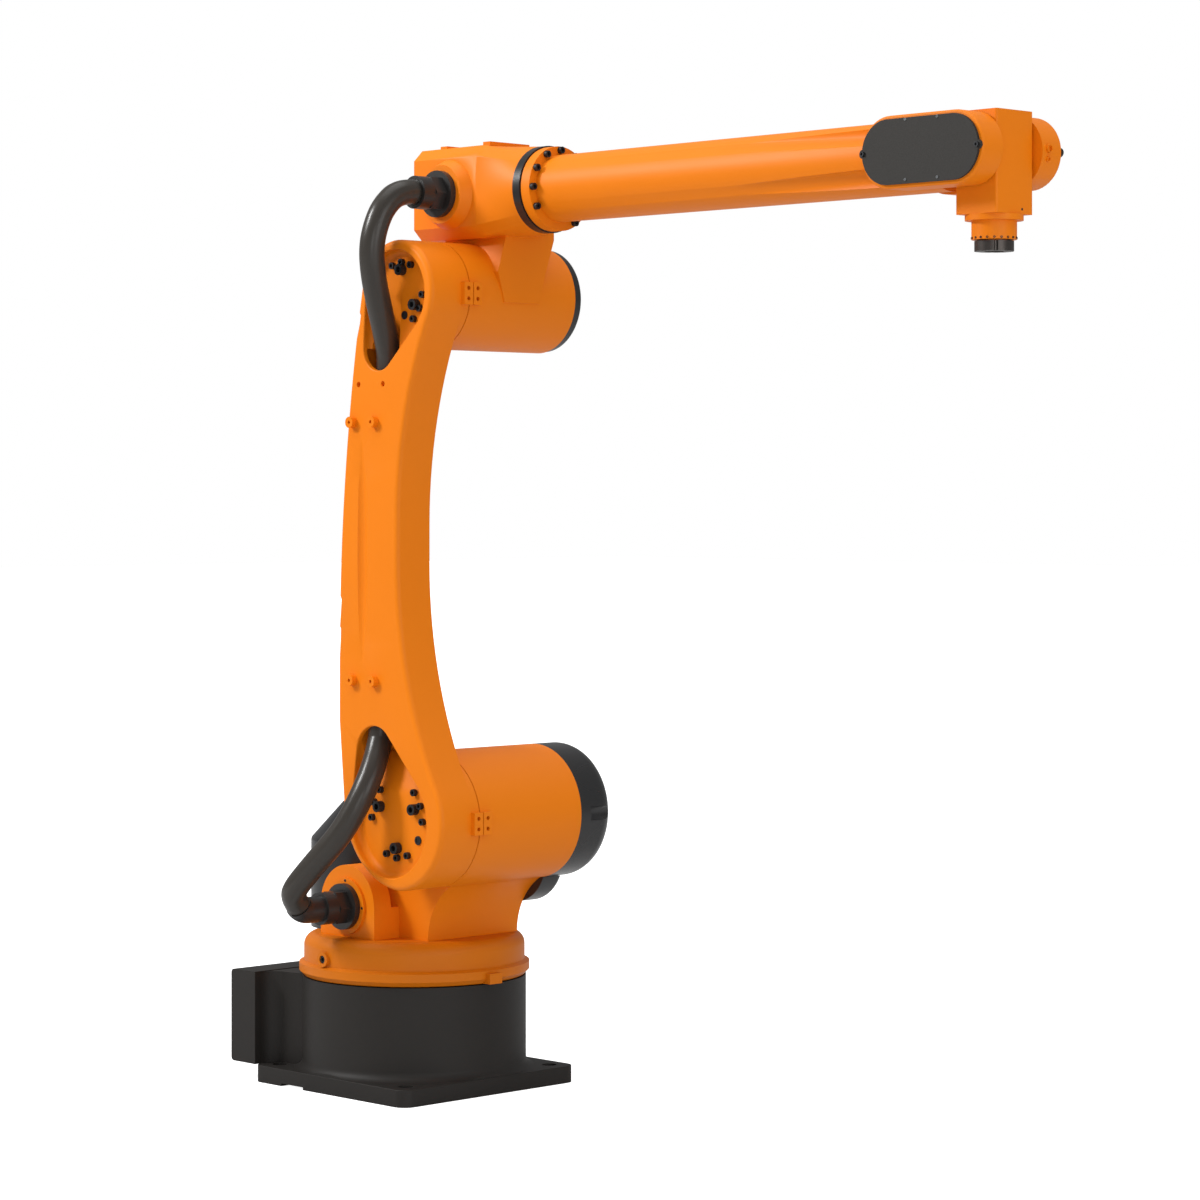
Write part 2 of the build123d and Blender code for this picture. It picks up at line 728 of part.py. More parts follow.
# Elbow casting: round drum, yoke and the block that carries the forearm
with BuildPart() as elbow_casting:
    with BuildSketch(across(elbow_far_y)):
        with Locations((shoulder_x, elbow_z)):
            Circle(elbow_radius)
    extrude(amount=elbow_far_y - elbow_seam_y)
    with BuildSketch(across(elbow_seam_y)):
        with Locations((shoulder_x, elbow_z)):
            Circle(elbow_bearing_radius)
    extrude(amount=seam_gap - bearing_gap)
    with BuildSketch(along(yoke_rear_x)):
        with BuildLine():
            Polyline(
                (yoke_top_near_y, roll_z),
                (yoke_top_near_y, roll_z - block_half_height),
                (yoke_waist_near_y, elbow_z + yoke_waist_rise),
                (yoke_foot_near_y, elbow_z - yoke_foot_drop),
                (yoke_foot_far_y, elbow_z - yoke_foot_drop),
                (yoke_waist_far_y, elbow_z + yoke_waist_rise),
                (yoke_top_far_y, roll_z - block_half_height),
                (yoke_top_far_y, roll_z),
                close=True,
            )
        make_face()
    extrude(amount=yoke_front_x - yoke_rear_x)
    with BuildSketch(along(block_rear_x)) as block_section:
        with Locations((0, roll_z)):
            Rectangle(2 * block_half_width, 2 * block_half_height)
        chamfer(block_section.vertices(), block_chamfer)
    extrude(amount=block_square_x - block_rear_x)
    with BuildSketch(along(block_square_x)) as square_end:
        with Locations((0, roll_z)):
            Rectangle(2 * block_half_width, 2 * block_half_height)
        chamfer(square_end.vertices(), block_chamfer)
    with BuildSketch(along(block_front_x)):
        with Locations((0, roll_z)):
            Circle(roll_radius)
    loft()
    with BuildSketch(level(roll_z + block_half_height)):
        with Locations((rear_pad_x, 0)):
            Rectangle(pad_length, rear_pad_width)
        with Locations((front_pad_x, 0)):
            Rectangle(pad_length, front_pad_width)
    extrude(amount=pad_height)
    with BuildSketch(across(-block_half_width)):
        with Locations((shoulder_x, upper_gland_z)):
            Circle(upper_boss_root_radius)
    with BuildSketch(across(upper_boss_y)):
        with Locations((shoulder_x, upper_gland_z)):
            Circle(upper_boss_radius)
    loft()
    with BuildSketch(along(shoulder_x + elbow_radius - mark_flat)):
        with Locations((elbow_seam_y + mark_width / 2, elbow_z)):
            Rectangle(mark_width, mark_height)
    extrude(amount=mark_flat, mode=Mode.SUBTRACT)
elbow_casting.part.label = "elbow_casting"
export_step(elbow_casting.part, "parts/elbow_casting.step")

# Motor cap on the far end of the elbow drum
with BuildPart() as elbow_motor_cap:
    with BuildSketch(across(elbow_far_y)):
        with Locations((shoulder_x, elbow_z)):
            Circle(elbow_cap_radius)
    extrude(amount=-elbow_cap_depth)
    fillet(elbow_motor_cap.edges().group_by(Axis.Y)[-1], elbow_cap_round)
elbow_motor_cap.part.label = "elbow_motor_cap"
export_step(elbow_motor_cap.part, "parts/elbow_motor_cap.step")

# Upper gland on the side of the elbow block
upper_gland = gland(shoulder_x, upper_boss_y, upper_gland_z)
upper_gland.part.label = "upper_gland"
export_step(upper_gland.part, "parts/upper_gland.step")

# Seal ring between the elbow block and the turning flange of the forearm
with BuildPart() as seal_ring:
    with BuildSketch(along(block_front_x)):
        with Locations((0, roll_z)):
            Circle(roll_radius)
    extrude(amount=seal_width)
    with BuildSketch(along(block_front_x + seal_width)):
        with Locations((0, roll_z)):
            Circle(seal_inner_radius)
    extrude(amount=seam_gap - bearing_gap)
seal_ring.part.label = "seal_ring"
export_step(seal_ring.part, "parts/seal_ring.step")

# Forearm casting: bolted flange, long tube with tapering flutes, and the fork that holds the wrist
with BuildPart() as forearm_casting:
    for side in (-1, 1):
        with BuildSketch(across(side * fork_outer_y)):
            with Locations(((fork_rear_x + wrist_x) / 2, roll_z)):
                SlotCenterToCenter(wrist_x - fork_rear_x, 2 * fork_radius)
        extrude(amount=side * (fork_outer_y - fork_inner_y))
    fork_faces = forearm_casting.faces().sort_by(Axis.Y)
    fillet(fork_faces[0].edges() + fork_faces[-1].edges(), fork_edge_round)
    fork_arms = forearm_casting.part
    with BuildSketch(along(flange_x)):
        with Locations((0, roll_z)):
            Circle(flange_radius)
    extrude(amount=flange_thickness)
    with BuildSketch(along(tube_x)):
        with Locations((0, roll_z)):
            Circle(tube_radius)
    extrude(amount=fork_root_x - tube_x)
    for angle in (flute_angle, -flute_angle, 180 - flute_angle, 180 + flute_angle):
        outwards = Vector(0, math.cos(math.radians(angle)), math.sin(math.radians(angle)))
        start = Vector(flute_start_x, 0, roll_z) + outwards * (tube_radius + flute_radius)
        end = Vector(flute_end_x, 0, roll_z) + outwards * (tube_radius + flute_radius - flute_depth)
        with BuildSketch(Plane(origin=start, z_dir=end - start)):
            Circle(flute_radius)
        extrude(amount=(end - start).length, mode=Mode.SUBTRACT)
    # The flutes run into the arms, so the whole arms go back after the cut
    add(fork_arms)
forearm_casting.part.label = "forearm_casting"
export_step(forearm_casting.part, "parts/forearm_casting.step")


def belt_cover(side):
    """Flat cover with round ends and a small ear at each end, on the outer face of a fork arm."""
    with BuildPart() as piece:
        with BuildSketch(across(side * fork_outer_y)):
            with Locations(((fork_rear_x + wrist_x) / 2, roll_z)):
                SlotCenterToCenter(wrist_x - fork_rear_x, 2 * cover_radius)
            with Locations(
                (fork_rear_x - cover_radius + cover_ear_out, roll_z),
                (wrist_x + cover_radius - cover_ear_out, roll_z),
            ):
                Circle(cover_ear_radius)
        extrude(amount=-side * cover_thickness)
    return piece


near_belt_cover = belt_cover(-1)
near_belt_cover.part.label = "near_belt_cover"
export_step(near_belt_cover.part, "parts/near_belt_cover.step")

far_belt_cover = belt_cover(1)
far_belt_cover.part.label = "far_belt_cover"
export_step(far_belt_cover.part, "parts/far_belt_cover.step")

# Wrist block: square block that tilts between the fork arms on two round trunnions
with BuildPart() as wrist_block:
    with BuildSketch(level(roll_z - wrist_bottom)):
        with Locations((wrist_x, 0)):
            RectangleRounded(2 * wrist_half_depth, 2 * wrist_half_width, wrist_edge_round)
    extrude(amount=wrist_bottom + wrist_top)
    with BuildSketch(across(fork_inner_y - bearing_gap)):
        with Locations((wrist_x, roll_z)):
            Circle(trunnion_radius)
    extrude(amount=2 * (fork_inner_y - bearing_gap))
wrist_block.part.label = "wrist_block"
export_step(wrist_block.part, "parts/wrist_block.step")

# Two stepped collars under the wrist block
with BuildPart() as wrist_collar:
    with BuildSketch(level(roll_z - wrist_bottom)):
        with Locations((wrist_x, 0)):
            Circle(collar_radius)
    extrude(amount=-collar_height)
    with BuildSketch(level(roll_z - wrist_bottom - collar_height)):
        with Locations((wrist_x, 0)):
            Circle(neck_collar_radius)
    extrude(amount=-neck_collar_height)
    with BuildSketch(level(tool_top + seam_gap)):
        with Locations((wrist_x, 0)):
            Circle(tool_bearing_radius)
    extrude(amount=-(seam_gap - bearing_gap))
wrist_collar.part.label = "wrist_collar"
export_step(wrist_collar.part, "parts/wrist_collar.step")

# Tool flange: turned steel disc with a bolt circle and a pilot bore
with BuildPart() as tool_flange:
    with BuildSketch(level(tool_face)):
        with Locations((wrist_x, 0)):
            Circle(tool_radius)
    extrude(amount=tool_thickness)
    with BuildSketch(level(tool_face)):
        with Locations((wrist_x, 0)):
            Circle(tool_pilot_radius)
    extrude(amount=tool_pilot_depth, mode=Mode.SUBTRACT)
    with BuildSketch(level(tool_face)):
        with Locations((wrist_x, 0)):
            with PolarLocations(tool_bolt_circle / 2, tool_bolt_count):
                Circle(tool_bolt_hole)
            with PolarLocations(tool_radius, tool_bolt_count, start_angle=45):
                Circle(tool_notch_radius)
    extrude(amount=tool_thickness, mode=Mode.SUBTRACT)
tool_flange.part.label = "tool_flange"
export_step(tool_flange.part, "parts/tool_flange.step")


def hose(points):
    """Round hose along straight runs joined by the largest arcs that the runs allow."""
    radii = []
    for before, corner, after in zip(points, points[1:], points[2:]):
        first = Vector(corner) - Vector(before)
        second = Vector(after) - Vector(corner)
        turn = math.radians(first.get_angle(second))
        radii.append(0.45 * min(first.length, second.length) / math.tan(turn / 2))
    with BuildPart() as piece:
        with BuildLine() as route:
            FilletPolyline(*points, radius=radii)
        path = route.wire()
        with BuildSketch(Plane(origin=path @ 0, z_dir=path % 0)):
            Circle(hose_radius)
        sweep(path=path)
    expected = math.pi * hose_radius**2 * path.length
    print("hose radii", [round(r, 1) for r in radii], "length", round(path.length, 1),
          "volume ratio", round(piece.part.volume / expected, 4))
    return piece


# The hose leaves the elbow fitting, rises beside the arm and enters the channel through the lower window
hose_split = (90.0, channel_mid_y, shoulder_z + 396.0)
lower_hose = hose([
    hose_start,
    hose_start + hose_heading * hose_first_run,
    (10.0, -234.5, 306.0),
    (28.0, -230.0, 326.0),
    (47.0, -224.0, 347.0),
    (66.0, -217.0, 368.0),
    (84.0, -208.0, 392.0),
    (97.0, -198.0, 420.0),
    (104.0, -186.0, shoulder_z + 44.0),
    (103.0, -170.0, shoulder_z + 72.0),
    (95.0, -153.0, shoulder_z + 99.0),
    (90.0, channel_mid_y, shoulder_z + 127.0),
    hose_split,
])
lower_hose.part.label = "lower_hose"
export_step(lower_hose.part, "parts/lower_hose.step")

# The same hose leaves the channel through the upper window and bends over into the upper gland
upper_hose_end = (shoulder_x, upper_boss_y - gland_length, upper_gland_z)
upper_hose = hose([
    hose_split,
    (90.0, channel_mid_y, elbow_z - 203.0),
    (108.0, channel_mid_y, elbow_z - 97.0),
    (116.0, -156.0, elbow_z - 59.0),
    (125.0, -176.0, elbow_z - 19.0),
    (132.0, -194.0, elbow_z + 25.0),
    (137.0, -202.0, elbow_z + 64.0),
    (142.0, -198.0, upper_gland_z - 50.0),
    (146.0, -186.0, upper_gland_z - 22.0),
    (shoulder_x, -161.0, upper_gland_z),
    upper_hose_end,
])
upper_hose.part.label = "upper_hose"
export_step(upper_hose.part, "parts/upper_hose.step")
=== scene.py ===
import math

import bmesh
import bpy
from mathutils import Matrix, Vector


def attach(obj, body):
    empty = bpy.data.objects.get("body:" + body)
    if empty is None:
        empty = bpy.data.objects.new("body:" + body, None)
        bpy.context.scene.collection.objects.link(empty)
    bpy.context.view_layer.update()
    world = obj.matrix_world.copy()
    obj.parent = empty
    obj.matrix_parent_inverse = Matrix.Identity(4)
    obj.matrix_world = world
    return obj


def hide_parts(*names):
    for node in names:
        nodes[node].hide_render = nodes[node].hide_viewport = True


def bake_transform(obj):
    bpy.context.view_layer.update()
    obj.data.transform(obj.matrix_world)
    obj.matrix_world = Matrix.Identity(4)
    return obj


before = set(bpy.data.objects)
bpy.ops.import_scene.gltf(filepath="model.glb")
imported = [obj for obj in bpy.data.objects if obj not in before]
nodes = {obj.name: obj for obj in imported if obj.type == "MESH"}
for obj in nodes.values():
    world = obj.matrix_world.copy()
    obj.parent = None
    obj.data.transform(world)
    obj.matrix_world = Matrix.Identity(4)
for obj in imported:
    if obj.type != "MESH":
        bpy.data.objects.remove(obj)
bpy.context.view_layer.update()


def put(name, data):
    """New object in the scene that shows a mesh, a curve, a lamp or a camera."""
    item = bpy.data.objects.new(name, data)
    bpy.context.collection.objects.link(item)
    return item


# The camera stands at chest height, level, in front of the arm and to its side.
# The lens is long, and the frame is lowered a little, as in a product photograph.
eye_height = 0.872
eye_distance = 5.306
turned_degrees = 45.7
side_step = 0.2745
focal_length_mm = 107.55
sensor_width_mm = 36.0
frame_shift = -0.09

turned = math.radians(turned_degrees)
ahead = Vector((-math.sin(turned), math.cos(turned), 0))
beside = Vector((math.cos(turned), math.sin(turned), 0))
camera_data = bpy.data.cameras.new("photo_camera")
camera_data.lens = focal_length_mm
camera_data.sensor_width = sensor_width_mm
camera_data.shift_y = frame_shift
camera = put("photo_camera", camera_data)
camera.location = -ahead * eye_distance + beside * side_step + Vector((0, 0, eye_height))
camera.rotation_euler = (math.radians(90), 0, turned)
bpy.context.scene.camera = camera


# The dressing hose is one smooth rubber hose. It leaves the elbow fitting, passes up inside the
# link arm and bends over into the upper gland. It is split inside the arm into two runs.
hose_diameter = 0.036
hose_sides = 28
steps_per_point = 10
channel_y = -0.1405
split_z = 0.800
lower_route = [
    (-0.0093, -0.2140, 0.2760),
    (-0.0043, -0.2300, 0.2910),
    (0.010, -0.2345, 0.306),
    (0.028, -0.230, 0.326),
    (0.047, -0.224, 0.347),
    (0.066, -0.217, 0.368),
    (0.084, -0.208, 0.392),
    (0.097, -0.198, 0.420),
    (0.104, -0.186, 0.448),
    (0.103, -0.170, 0.476),
    (0.095, -0.153, 0.503),
    (0.090, channel_y, 0.531),
    (0.090, channel_y, split_z),
]
upper_route = [
    (0.090, channel_y, split_z),
    (0.090, channel_y, 0.950),
    (0.108, channel_y, 1.056),
    (0.116, -0.156, 1.094),
    (0.125, -0.176, 1.134),
    (0.132, -0.194, 1.178),
    (0.137, -0.202, 1.217),
    (0.142, -0.198, 1.249),
    (0.146, -0.186, 1.277),
    (0.150, -0.161, 1.299),
    (0.150, -0.133, 1.299),
]


def smooth_line(route):
    """Points along the smooth line that a route's points control."""
    curve = bpy.data.curves.new("route", "CURVE")
    curve.dimensions = "3D"
    curve.resolution_u = steps_per_point
    spline = curve.splines.new("NURBS")
    spline.points.add(len(route) - 1)
    for point, place in zip(spline.points, route):
        point.co = (*place, 1)
    spline.order_u = 3
    spline.use_endpoint_u = True
    carrier = put("route", curve)
    line = bpy.data.meshes.new_from_object(carrier)
    places = [vertex.co.copy() for vertex in line.vertices]
    bpy.data.objects.remove(carrier)
    bpy.data.meshes.remove(line)
    return places


def hose_tube(name, line, radius):
    """Closed tube along a line, with rings that don't twist and a UV map along the hose."""
    shape = bmesh.new()
    uv_layer = shape.loops.layers.uv.new("along_hose")
    rings = []
    run = 0.0
    side = Vector((1, 0, 0))
    for i, place in enumerate(line):
        heading = (line[min(i + 1, len(line) - 1)] - line[max(i - 1, 0)]).normalized()
        side = (side - heading * side.dot(heading)).normalized()
        up = heading.cross(side)
        run += (place - line[i - 1]).length if i else 0.0
        ring = []
        for k in range(hose_sides):
            angle = 2 * math.pi * k / hose_sides
            outwards = math.cos(angle) * side + math.sin(angle) * up
            ring.append(shape.verts.new(place + radius * outwards))
        rings.append((run, ring))
    for (run_a, a), (run_b, b) in zip(rings, rings[1:]):
        for k in range(hose_sides):
            n = (k + 1) % hose_sides
            face = shape.faces.new((a[k], a[n], b[n], b[k]))
            face.smooth = True
            start, end = k / hose_sides, (k + 1) / hose_sides
            corners = zip(face.loops, (start, end, end, start), (run_a, run_a, run_b, run_b))
            for loop, turn, length in corners:
                loop[uv_layer].uv = (turn * 2 * math.pi * radius, length)
    shape.faces.new(reversed(rings[0][1]))
    shape.faces.new(rings[-1][1])
    mesh = bpy.data.meshes.new(name)
    shape.to_mesh(mesh)
    shape.free()
    return put(name, mesh)


def srgb(code):
    """Linear colour with full alpha from an sRGB hex value."""
    parts = [int(code[i:i + 2], 16) / 255 for i in (1, 3, 5)]
    return [c / 12.92 if c <= 0.04045 else ((c + 0.055) / 1.055) ** 2.4 for c in parts] + [1.0]


def add(tree, kind, settings=None, inputs=None):
    """Adds a node, sets its properties, and sets or links its inputs by name or index."""
    node = tree.nodes.new(kind)
    for key, value in (settings or {}).items():
        setattr(node, key, value)
    for key, value in (inputs or {}).items():
        if isinstance(value, bpy.types.NodeSocket):
            tree.links.new(value, node.inputs[key])
        else:
            node.inputs[key].default_value = value
    return node


def finish_of(name):
    """New material with a bare principled shader, and its tree and shader."""
    material = bpy.data.materials.new(name)
    material.use_nodes = True
    tree = material.node_tree
    return material, tree, tree.nodes["Principled BSDF"]


def mottle(tree, shader, drift, tones, roughness):
    """Lets base colour and roughness drift between two values each."""
    tint = add(tree, "ShaderNodeMix", {"data_type": "RGBA"},
               {0: drift, 6: srgb(tones[0]), 7: srgb(tones[1])})
    dull = add(tree, "ShaderNodeMapRange", inputs={0: drift, 3: roughness[0], 4: roughness[1]})
    tree.links.new(tint.outputs[2], shader.inputs["Base Color"])
    tree.links.new(dull.outputs[0], shader.inputs["Roughness"])


def roughen(tree, shader, height, strength, depth_mm):
    """Raises bumps of a depth in millimetres."""
    bump = add(tree, "ShaderNodeBump",
               inputs={"Strength": strength, "Distance": depth_mm / 1000, "Height": height})
    tree.links.new(bump.outputs[0], shader.inputs["Normal"])


# Extruded rubber jacket: dull, slightly uneven, with fine lengthwise drawing marks and a soft
# sheen. The marks follow the hose's UV map, so they bend with it.
hose_jacket, tree, shader = finish_of("extruded_rubber_jacket")
marks_across, marks_along = 700, 14
where = add(tree, "ShaderNodeTexCoord")
drawn = add(tree, "ShaderNodeMapping",
            inputs={"Vector": where.outputs["UV"], "Scale": (marks_across, marks_along, 1)})
streaks = add(tree, "ShaderNodeTexNoise",
              inputs={"Vector": drawn.outputs[0], "Scale": 1.0, "Detail": 3.0})
mottle(tree, shader, streaks.outputs[0], tones=("#2F2B27", "#3B3732"), roughness=(0.24, 0.36))
roughen(tree, shader, streaks.outputs[0], strength=0.12, depth_mm=0.4)
shader.inputs["Specular IOR Level"].default_value = 0.35

for name, route, node, lower_body, upper_body, bend_from, bend_to in (
    ("lower_hose_run", lower_route, "lower_hose", "column", "link_arm",
     lower_route[1], lower_route[11]),
    ("upper_hose_run", upper_route, "upper_hose", "link_arm", "elbow",
     upper_route[2], upper_route[9]),
):
    line = smooth_line(route)
    run = hose_tube(name, line, hose_diameter / 2)
    run.data.materials.append(hose_jacket)
    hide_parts(node)
    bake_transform(run)


def object_noise(tree, size_mm, detail):
    """Noise in the object's own coordinates, with grains of a size in millimetres."""
    where = add(tree, "ShaderNodeTexCoord")
    noise = add(tree, "ShaderNodeTexNoise",
                inputs={"Vector": where.outputs["Object"], "Scale": 1000 / size_mm,
                        "Detail": detail})
    return noise.outputs[0]


def uneven_finish(name, tones, roughness, cloud, grain=None, strength=0.0, depth_mm=0.0,
                  specular=0.5, metallic=0.0):
    """Material that drifts in tone and gloss with one noise and has bumps from another.

    cloud and grain are each the size in millimetres and the detail of a noise.
    """
    material, tree, shader = finish_of(name)
    mottle(tree, shader, object_noise(tree, *cloud), tones, roughness)
    if grain:
        roughen(tree, shader, object_noise(tree, *grain), strength, depth_mm)
    shader.inputs["Specular IOR Level"].default_value = specular
    shader.inputs["Metallic"].default_value = metallic
    return material


smooth_angle = math.radians(32)
weld_distance = 0.00001
smoothing = bpy.data.node_groups.new("rounded_casting", "GeometryNodeTree")
smoothing.interface.new_socket("Casting", in_out="INPUT", socket_type="NodeSocketGeometry")
smoothing.interface.new_socket("Angle", in_out="INPUT", socket_type="NodeSocketFloat")
smoothing.interface.new_socket("Casting", in_out="OUTPUT", socket_type="NodeSocketGeometry")
given = add(smoothing, "NodeGroupInput")
joined = add(smoothing, "GeometryNodeMergeByDistance",
             inputs={"Geometry": given.outputs["Casting"], "Distance": weld_distance})
edge = add(smoothing, "GeometryNodeInputMeshEdgeAngle")
gentle = add(smoothing, "FunctionNodeCompare", {"operation": "LESS_EQUAL"},
             {0: edge.outputs[0], 1: given.outputs["Angle"]})
faces_smooth = add(smoothing, "GeometryNodeSetShadeSmooth", {"domain": "FACE"},
                   {"Geometry": joined.outputs[0], "Shade Smooth": True})
edges_smooth = add(smoothing, "GeometryNodeSetShadeSmooth", {"domain": "EDGE"},
                   {"Geometry": faces_smooth.outputs[0], "Shade Smooth": gentle.outputs[0]})
add(smoothing, "NodeGroupOutput", inputs={0: edges_smooth.outputs[0]})
angle_input = smoothing.interface.items_tree["Angle"].identifier


def finish_solids(names, material):
    """Gives solids their finish, and shades their rounded faces as smooth."""
    for name in names:
        solid = nodes[name]
        solid.data.materials.clear()
        solid.data.materials.append(material)
        shading = solid.modifiers.new("rounded", "NODES")
        shading.node_group = smoothing
        shading[angle_input] = smooth_angle


# Castings of the moving arm: cast aluminium and iron, machined at the joints and sprayed with
# satin two pack paint, which leaves a faint orange peel. The skirt at the foot gets a darker copy
# of the orange: painted shade, for the light that falls off towards the floor.
cloud_mm = 160.0
peel_mm = 2.2
orange_paint, skirt_orange_painted_shade = [
    uneven_finish(name, tones, roughness=(0.40, 0.50), cloud=(cloud_mm, 2.0),
                  grain=(peel_mm, 1.0), strength=0.10, depth_mm=0.3, specular=0.17)
    for name, tones in (("sprayed_orange_paint", ("#E2780A", "#E77C0C")),
                        ("skirt_orange_with_painted_shade", ("#C66908", "#CC6E09")))
]
finish_solids((
    "column_casting", "link_arm_casting", "elbow_casting", "forearm_casting", "wrist_block",
    "wrist_collar", "shoulder_mark_column", "shoulder_mark_arm", "elbow_mark_arm",
    "elbow_mark_housing",
), orange_paint)
# The skirt takes the darker orange copy, which is painted shade near the floor.
finish_solids(("turntable_skirt",), skirt_orange_painted_shade)


# Base, junction box and its cover: an iron casting and a folded sheet box, both sprayed with a
# dark brownish grey paint that is duller and coarser than that of the arm.
base_paint = uneven_finish("sprayed_dark_paint", ("#1D1A18", "#25221F"), roughness=(0.50, 0.62),
                           cloud=(cloud_mm, 3.0), grain=(peel_mm, 2.0), strength=0.18,
                           depth_mm=0.4, specular=0.3)
finish_solids(("base_casting", "junction_box", "junction_box_cover"), base_paint)


# Neck of the base: the casting runs back from the drum to the junction box, with a hollow corner
# on each side that ends in the front face of the box. It carries the base's own paint.
box_face_x = -0.170
box_edge_y = -0.153
hollow_radius = 0.025
hollow_steps = 12
drum_inside = 0.1645
touch_degrees = 132.3
drum_steps = 32
neck_bottom = 0.025
neck_top = 0.160

near_wall = []
for k in range(hollow_steps + 1):
    angle = math.pi - math.pi / 2 * k / hollow_steps
    near_wall.append((box_face_x + hollow_radius * (1 + math.cos(angle)),
                      box_edge_y + hollow_radius * math.sin(angle)))
drum_wall = []
for k in range(drum_steps + 1):
    angle = math.radians(360 - touch_degrees - (360 - 2 * touch_degrees) * k / drum_steps)
    drum_wall.append((drum_inside * math.cos(angle), drum_inside * math.sin(angle)))
far_wall = [(x, -y) for x, y in reversed(near_wall)]
outline = near_wall + drum_wall + far_wall

shape = bmesh.new()
low = [shape.verts.new((x, y, neck_bottom)) for x, y in outline]
high = [shape.verts.new((x, y, neck_top)) for x, y in outline]
shape.faces.new(reversed(low))
shape.faces.new(high)
for k in range(len(outline)):
    n = (k + 1) % len(outline)
    shape.faces.new((low[k], low[n], high[n], high[k])).smooth = True
bmesh.ops.recalc_face_normals(shape, faces=shape.faces)
neck_mesh = bpy.data.meshes.new("base_neck")
shape.to_mesh(neck_mesh)
shape.free()
neck_mesh.set_sharp_from_angle(angle=smooth_angle)
neck_mesh.materials.append(base_paint)
base_neck = put("base_neck", neck_mesh)
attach(base_neck, "base")


# Motor covers, caps and the seal ring: moulded dark grey plastic with a fine even satin.
# The grain of the mould is finer than the peel of the paint.
grit_mm = 1.6
cover_plastic = uneven_finish("moulded_grey_plastic", ("#1E1E1F", "#262627"),
                              roughness=(0.24, 0.32), cloud=(cloud_mm, 2.0),
                              grain=(grit_mm, 2.0), strength=0.12, depth_mm=0.3)
finish_solids(("turn_motor_cover", "shoulder_motor_cap", "shoulder_cable_cover",
               "elbow_motor_cap", "seal_ring"), cover_plastic)


# Belt covers: thin steel plates with a fine wrinkled dark finish, screwed to the fork arms.
# The wrinkles are both the bumps and the drift in tone, and the gloss is even.
wrinkle_mm = 1.8
wrinkle_paint = uneven_finish("wrinkle_finish_sheet", ("#24221F", "#302D2A"),
                              roughness=(0.62, 0.62), cloud=(wrinkle_mm, 3.0),
                              grain=(wrinkle_mm, 3.0), strength=0.3, depth_mm=0.4, specular=0.3)
finish_solids(("near_belt_cover", "far_belt_cover"), wrinkle_paint)


# Hose glands and the elbow fitting: black glass filled nylon, moulded, with a slight gloss
# that is uneven at the scale of the mould's grain.
gland_nylon = uneven_finish("moulded_black_nylon", ("#232120", "#232120"),
                            roughness=(0.30, 0.42), cloud=(grit_mm, 2.0), grain=(grit_mm, 2.0),
                            strength=0.1, depth_mm=0.3)
finish_solids(("lower_gland", "hose_elbow", "upper_gland"), gland_nylon)


# Tool flange: turned steel, chemically blackened, with a finely uneven gloss.
# The oxide lets some of the metal through, so it isn't a plain black.
oxide_mm = 2.5
black_steel = uneven_finish("blackened_turned_steel", ("#4A4542", "#4A4542"),
                            roughness=(0.32, 0.46), cloud=(oxide_mm, 2.0), metallic=0.8)
finish_solids(("tool_flange",), black_steel)


# Screws and plugs: black oxide steel with a socket in the head. One tree draws a head and sets it
# at every place of a carrier mesh, whose points say which way the head faces and how large it is.
wear_mm = 10 / 3
screw_steel = uneven_finish("black_oxide_screw", ("#1F1F21", "#323336"), roughness=(0.34, 0.52),
                            cloud=(wear_mm, 2.0), metallic=0.5)
head_sides = 18

screw_tree = bpy.data.node_groups.new("socket_screws", "GeometryNodeTree")
for title, kind in (("Places", "Geometry"), ("Sides", "Int"), ("Socket Share", "Float"),
                    ("Socket Depth", "Float"), ("Finish", "Material")):
    screw_tree.interface.new_socket(title, in_out="INPUT", socket_type="NodeSocket" + kind)
screw_tree.interface.new_socket("Screws", in_out="OUTPUT", socket_type="NodeSocketGeometry")
given = add(screw_tree, "NodeGroupInput")
disc = add(screw_tree, "GeometryNodeMeshCircle", {"fill_type": "NGON"},
           {"Vertices": given.outputs["Sides"], "Radius": 1.0})
head = add(screw_tree, "GeometryNodeExtrudeMesh", {"mode": "FACES"},
           {"Mesh": disc.outputs[0], "Offset Scale": 1.0})
rim = add(screw_tree, "GeometryNodeExtrudeMesh", {"mode": "FACES"},
          {"Mesh": head.outputs[0], "Selection": head.outputs["Top"], "Offset Scale": 0.0})
narrowed = add(screw_tree, "GeometryNodeScaleElements", {"domain": "FACE"},
               {"Geometry": rim.outputs[0], "Selection": rim.outputs["Top"],
                "Scale": given.outputs["Socket Share"]})
depth = add(screw_tree, "ShaderNodeMath", {"operation": "MULTIPLY"},
            {0: given.outputs["Socket Depth"], 1: -1.0})
socket = add(screw_tree, "GeometryNodeExtrudeMesh", {"mode": "FACES"},
             {"Mesh": narrowed.outputs[0], "Selection": rim.outputs["Top"],
              "Offset Scale": depth.outputs[0]})
facing, head_size = [
    add(screw_tree, "GeometryNodeInputNamedAttribute", {"data_type": "FLOAT_VECTOR"},
        {"Name": title})
    for title in ("facing", "head_size")
]
turn = add(screw_tree, "FunctionNodeAlignRotationToVector", {"axis": "Z"},
           {"Vector": facing.outputs[0]})
placed = add(screw_tree, "GeometryNodeInstanceOnPoints",
             inputs={"Points": given.outputs["Places"], "Instance": socket.outputs[0],
                     "Rotation": turn.outputs[0], "Scale": head_size.outputs[0]})
real = add(screw_tree, "GeometryNodeRealizeInstances", inputs={0: placed.outputs[0]})
finished = add(screw_tree, "GeometryNodeSetMaterial",
               inputs={"Geometry": real.outputs[0], "Material": given.outputs["Finish"]})
add(screw_tree, "NodeGroupOutput", inputs={0: finished.outputs[0]})


